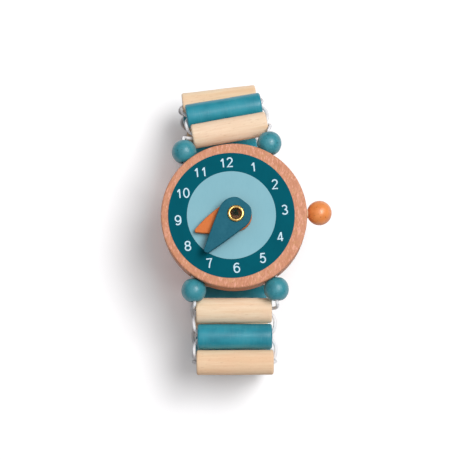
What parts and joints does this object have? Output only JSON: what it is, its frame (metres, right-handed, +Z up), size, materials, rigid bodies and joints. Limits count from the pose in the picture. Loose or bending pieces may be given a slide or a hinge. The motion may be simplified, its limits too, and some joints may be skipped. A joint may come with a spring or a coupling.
{
  "type": "toy wristwatch",
  "caption": "Wooden toy watch: round case with a printed number dial, turning hands on a hollow eyelet, ball crown, and an elastic strap of wooden dowels.",
  "frame": {"origin": "on the surface that the strap's underside rests on, below the middle of the whole watch", "axes": "+Z up, out of the dial; +Y towards 12 o'clock along the strap; +X towards 3 o'clock and the crown"},
  "size_m": [0.0468, 0.0836, 0.039],
  "materials": {
    "beech": "smooth unpainted beech, sanded, with fine flecks",
    "natural_dowel": "smooth unpainted pale wood, straight grain along the dowel",
    "teal_dowel": "teal water-based stain and paint, satin",
    "teal_bead": "teal paint, satin",
    "orange_ball": "orange paint, satin",
    "orange_hand": "orange paint, matte",
    "slate_hand": "slate blue paint, matte",
    "dark_print": "matte dark teal print",
    "light_print": "matte light blue print",
    "pale_print": "matte pale blue print",
    "brass": "polished",
    "peg_wood": "plain dowel pin",
    "white_elastic": "thin round braided elastic"
  },
  "bodies": {
    "watch_case": {"case": "beech", "dial_dark_print": "dark_print", "dial_light_print": "light_print", "dial_numbers": "pale_print", "eyelet": "brass", "eyelet_washer": "brass", "crown_ball": "orange_ball", "crown_peg": "peg_wood", "elastic_in_case": "white_elastic", "elastic_knot": "white_elastic"},
    "lug_12": {"elastic_lug_12": "white_elastic", "bead_12_left": "teal_bead", "bead_12_right": "teal_bead", "dowel_01": "natural_dowel"},
    "strap_link_02": {"dowel_02": "teal_dowel", "elastic_01_02": "white_elastic"},
    "strap_link_03": {"dowel_03": "natural_dowel", "elastic_02_03": "white_elastic"},
    "strap_link_04": {"dowel_04": "teal_dowel", "elastic_03_04": "white_elastic"},
    "strap_link_05": {"dowel_05": "natural_dowel", "elastic_04_05": "white_elastic"},
    "strap_link_06": {"dowel_06": "teal_dowel", "elastic_05_06": "white_elastic"},
    "strap_link_07": {"dowel_07": "natural_dowel", "elastic_06_07": "white_elastic"},
    "strap_link_08": {"dowel_08": "teal_dowel", "elastic_07_08": "white_elastic"},
    "strap_link_09": {"dowel_09": "natural_dowel", "elastic_08_09": "white_elastic"},
    "strap_link_10": {"dowel_10": "teal_dowel", "elastic_09_10": "white_elastic"},
    "lug_6": {"elastic_lug_6": "white_elastic", "bead_6_left": "teal_bead", "bead_6_right": "teal_bead"},
    "strap_link_19": {"dowel_19": "natural_dowel", "elastic_18_19": "white_elastic"},
    "strap_link_18": {"dowel_18": "teal_dowel", "elastic_17_18": "white_elastic"},
    "strap_link_17": {"dowel_17": "natural_dowel", "elastic_16_17": "white_elastic"},
    "strap_link_16": {"dowel_16": "teal_dowel", "elastic_15_16": "white_elastic"},
    "strap_link_15": {"dowel_15": "natural_dowel", "elastic_14_15": "white_elastic"},
    "strap_link_14": {"dowel_14": "teal_dowel", "elastic_13_14": "white_elastic"},
    "strap_link_13": {"dowel_13": "natural_dowel", "elastic_12_13": "white_elastic"},
    "strap_link_12": {"dowel_12": "teal_dowel", "elastic_11_12": "white_elastic"},
    "strap_link_11": {"dowel_11": "natural_dowel", "elastic_10_11": "white_elastic"},
    "hour_hand": {"hour_hand": "orange_hand"},
    "minute_hand": {"minute_hand": "slate_hand"}
  },
  "joints": [
    {"name": "bend_at_case_12", "type": "hinge", "parent": "watch_case", "child": "lug_12", "pos_m": [-0.00541, 0.02074, 0.02985], "axis": [0.9948, 0.1015, 0], "range_deg": [0, 14.16], "stiffness_Nm_per_rad": 0.03, "springref_deg": -0.85},
    {"name": "bend_at_dowel_01", "type": "hinge", "parent": "lug_12", "child": "strap_link_02", "pos_m": [-0.0046, 0.02663, 0.02578], "axis": [-0.9836, -0.1805, 0], "range_deg": [0, 28.91], "stiffness_Nm_per_rad": 0.03, "springref_deg": 0.41},
    {"name": "bend_at_dowel_02", "type": "hinge", "parent": "strap_link_02", "child": "strap_link_03", "pos_m": [-0.00622, 0.03297, 0.02247], "axis": [0.9857, 0.1685, 0], "range_deg": [0, 10.23], "stiffness_Nm_per_rad": 0.03, "springref_deg": 0.16},
    {"name": "bend_at_dowel_03", "type": "hinge", "parent": "strap_link_03", "child": "strap_link_04", "pos_m": [-0.00754, 0.03716, 0.01666], "axis": [0.9928, 0.1201, 0], "range_deg": [0, 32.64], "stiffness_Nm_per_rad": 0.03, "springref_deg": 0.58},
    {"name": "bend_at_dowel_04", "type": "hinge", "parent": "strap_link_04", "child": "strap_link_05", "pos_m": [-0.00781, 0.03556, 0.00968], "axis": [-0.9942, -0.108, 0], "range_deg": [0, 11.94], "stiffness_Nm_per_rad": 0.03, "springref_deg": -0.41},
    {"name": "bend_at_dowel_05", "type": "hinge", "parent": "strap_link_05", "child": "strap_link_06", "pos_m": [-0.00693, 0.03201, 0.00346], "axis": [0.9963, 0.0854, 0], "range_deg": [0, 39.19], "stiffness_Nm_per_rad": 0.03},
    {"name": "bend_at_dowel_06", "type": "hinge", "parent": "strap_link_06", "child": "strap_link_07", "pos_m": [-0.00711, 0.02485, 0.00346], "axis": [-0.9972, -0.075, 0], "range_deg": [0, 23.73], "stiffness_Nm_per_rad": 0.03},
    {"name": "bend_at_dowel_07", "type": "hinge", "parent": "strap_link_07", "child": "strap_link_08", "pos_m": [-0.0068, 0.01769, 0.00346], "axis": [-0.9977, -0.068, 0], "range_deg": [0, 18.02], "stiffness_Nm_per_rad": 0.03},
    {"name": "bend_at_dowel_08", "type": "hinge", "parent": "strap_link_08", "child": "strap_link_09", "pos_m": [-0.00631, 0.01053, 0.00346], "axis": [-0.9981, -0.061, 0], "range_deg": [0, 11.65], "stiffness_Nm_per_rad": 0.03},
    {"name": "bend_at_dowel_09", "type": "hinge", "parent": "strap_link_09", "child": "strap_link_10", "pos_m": [-0.00583, 0.00337, 0.00346], "axis": [-0.9985, -0.0541, 0], "range_deg": [0, 9.64], "stiffness_Nm_per_rad": 0.03},
    {"name": "bend_at_case_6", "type": "hinge", "parent": "watch_case", "child": "lug_6", "pos_m": [-0.00311, -0.0189, 0.02985], "axis": [0.9999, 0.015, 0], "range_deg": [0, 9.05], "stiffness_Nm_per_rad": 0.03, "springref_deg": 0.93},
    {"name": "bend_at_dowel_19", "type": "hinge", "parent": "lug_6", "child": "strap_link_19", "pos_m": [-0.00341, -0.02405, 0.02488], "axis": [1, 0, 0], "range_deg": [0, 35.14], "stiffness_Nm_per_rad": 0.03, "springref_deg": 0.56},
    {"name": "bend_at_dowel_18", "type": "hinge", "parent": "strap_link_19", "child": "strap_link_18", "pos_m": [-0.00319, -0.03117, 0.02415], "axis": [1, 0.0035, 0], "range_deg": [0, 10.19], "stiffness_Nm_per_rad": 0.03, "springref_deg": -0.02},
    {"name": "bend_at_dowel_17", "type": "hinge", "parent": "strap_link_18", "child": "strap_link_17", "pos_m": [-0.0031, -0.03828, 0.0233], "axis": [-1, -0.0052, 0], "range_deg": [0, 57.88], "stiffness_Nm_per_rad": 0.03, "springref_deg": 0.66},
    {"name": "bend_at_dowel_16", "type": "hinge", "parent": "strap_link_17", "child": "strap_link_16", "pos_m": [-0.00341, -0.03723, 0.01622], "axis": [1, 0.0087, 0], "range_deg": [0, 22.44], "stiffness_Nm_per_rad": 0.03, "springref_deg": -0.56},
    {"name": "bend_at_dowel_15", "type": "hinge", "parent": "strap_link_16", "child": "strap_link_15", "pos_m": [-0.0035, -0.03687, 0.00907], "axis": [-0.9999, -0.014, 0], "range_deg": [0, 10.34], "stiffness_Nm_per_rad": 0.03, "springref_deg": 0.52},
    {"name": "bend_at_dowel_14", "type": "hinge", "parent": "strap_link_15", "child": "strap_link_14", "pos_m": [-0.00372, -0.03243, 0.00345], "axis": [-0.9998, -0.0192, 0], "range_deg": [0, 26.89], "stiffness_Nm_per_rad": 0.03},
    {"name": "bend_at_dowel_13", "type": "hinge", "parent": "strap_link_14", "child": "strap_link_13", "pos_m": [-0.00402, -0.02527, 0.00346], "axis": [0.9997, 0.0262, 0], "range_deg": [0, 11.37], "stiffness_Nm_per_rad": 0.03},
    {"name": "bend_at_dowel_12", "type": "hinge", "parent": "strap_link_13", "child": "strap_link_12", "pos_m": [-0.00442, -0.01811, 0.00346], "axis": [0.9995, 0.0332, 0], "range_deg": [0, 7.5], "stiffness_Nm_per_rad": 0.03},
    {"name": "bend_at_dowel_11", "type": "hinge", "parent": "strap_link_12", "child": "strap_link_11", "pos_m": [-0.00482, -0.01095, 0.00346], "axis": [0.9992, 0.0401, 0], "range_deg": [0, 8.69], "stiffness_Nm_per_rad": 0.03},
    {"name": "hour_hand_turn", "type": "hinge", "parent": "watch_case", "child": "hour_hand", "pos_m": [-0.00291, 0.00083, 0.0342], "axis": [0, 0, -1], "continuous": true},
    {"name": "minute_hand_turn", "type": "hinge", "parent": "watch_case", "child": "minute_hand", "pos_m": [-0.00291, 0.00083, 0.03635], "axis": [0, 0, -1], "continuous": true}
  ],
  "couplings": [
    {"joint": "bend_at_dowel_01", "follows": "bend_at_case_12", "ratio": 2.0381},
    {"joint": "bend_at_dowel_02", "follows": "bend_at_case_12", "ratio": 0.71893},
    {"joint": "bend_at_dowel_03", "follows": "bend_at_case_12", "ratio": 2.3016},
    {"joint": "bend_at_dowel_04", "follows": "bend_at_case_12", "ratio": 0.83969},
    {"joint": "bend_at_dowel_05", "follows": "bend_at_case_12", "ratio": 2.7641},
    {"joint": "bend_at_dowel_06", "follows": "bend_at_case_12", "ratio": 1.6723},
    {"joint": "bend_at_dowel_07", "follows": "bend_at_case_12", "ratio": 1.2691},
    {"joint": "bend_at_dowel_08", "follows": "bend_at_case_12", "ratio": 0.81921},
    {"joint": "bend_at_dowel_09", "follows": "bend_at_case_12", "ratio": 0.67726},
    {"joint": "bend_at_case_6", "follows": "bend_at_case_12", "ratio": 0.63559},
    {"joint": "bend_at_dowel_19", "follows": "bend_at_case_12", "ratio": 2.4781},
    {"joint": "bend_at_dowel_18", "follows": "bend_at_case_12", "ratio": 0.7161},
    {"joint": "bend_at_dowel_17", "follows": "bend_at_case_12", "ratio": 4.084},
    {"joint": "bend_at_dowel_16", "follows": "bend_at_case_12", "ratio": 1.5812},
    {"joint": "bend_at_dowel_15", "follows": "bend_at_case_12", "ratio": 0.72669},
    {"joint": "bend_at_dowel_14", "follows": "bend_at_case_12", "ratio": 1.8955},
    {"joint": "bend_at_dowel_13", "follows": "bend_at_case_12", "ratio": 0.79944},
    {"joint": "bend_at_dowel_12", "follows": "bend_at_case_12", "ratio": 0.52613},
    {"joint": "bend_at_dowel_11", "follows": "bend_at_case_12", "ratio": 0.61017}
  ]
}
